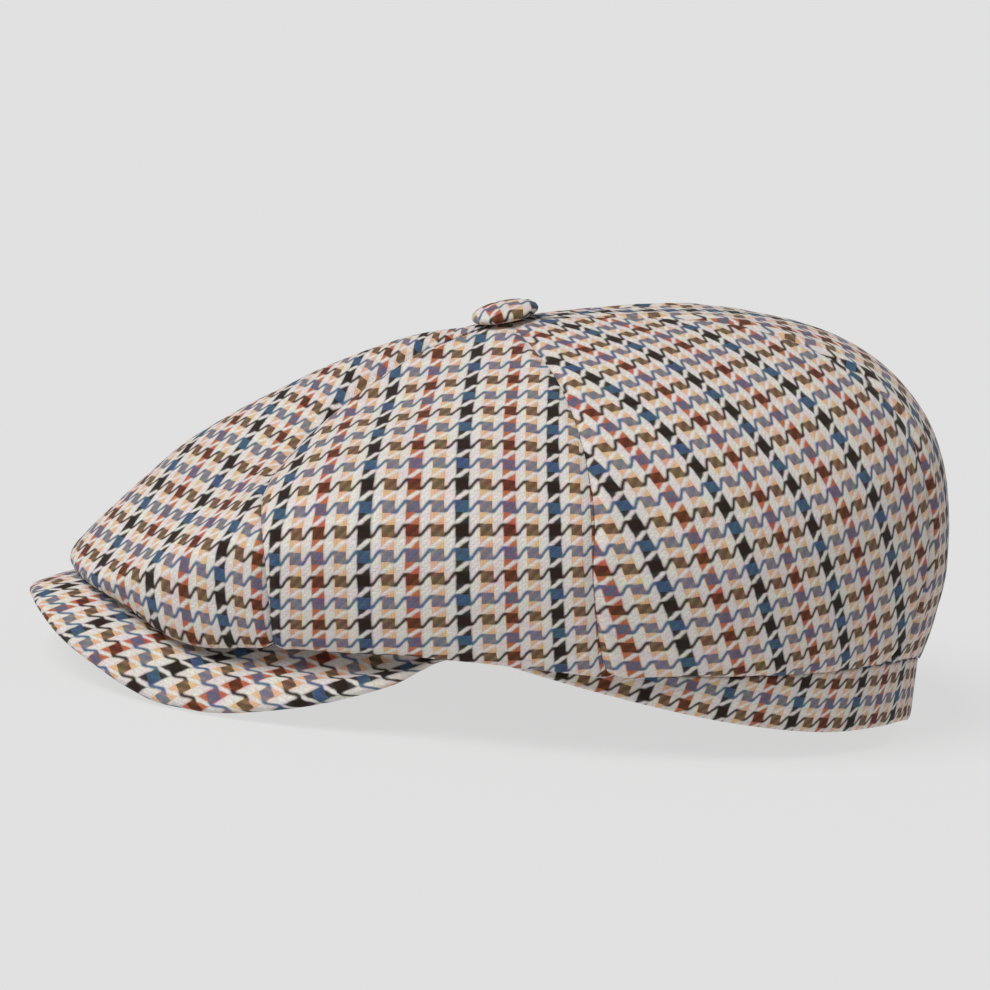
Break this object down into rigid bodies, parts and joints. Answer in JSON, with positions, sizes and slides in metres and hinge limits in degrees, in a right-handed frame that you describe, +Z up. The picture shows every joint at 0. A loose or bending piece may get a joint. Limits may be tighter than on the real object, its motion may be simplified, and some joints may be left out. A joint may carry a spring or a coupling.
{
  "type": "flat cap",
  "caption": "Soft cap with a panelled crown that overhangs a short curved peak, a band round the head opening and a covered button.",
  "frame": {"origin": "middle of the cap's footprint, on the surface that it rests on", "axes": "+Z up, the peak points to -Y, the wearer's left is +X"},
  "size_m": [0.1838, 0.2792, 0.1205],
  "materials": {
    "houndstooth_cloth": "matt woven wool in a small many-coloured houndstooth check"
  },
  "bodies": {
    "root": {"front_panel": "houndstooth_cloth", "left_front_panel": "houndstooth_cloth", "left_rear_panel": "houndstooth_cloth", "back_panel": "houndstooth_cloth", "right_rear_panel": "houndstooth_cloth", "right_front_panel": "houndstooth_cloth", "band": "houndstooth_cloth", "peak": "houndstooth_cloth", "button": "houndstooth_cloth"}
  },
  "joints": []
}
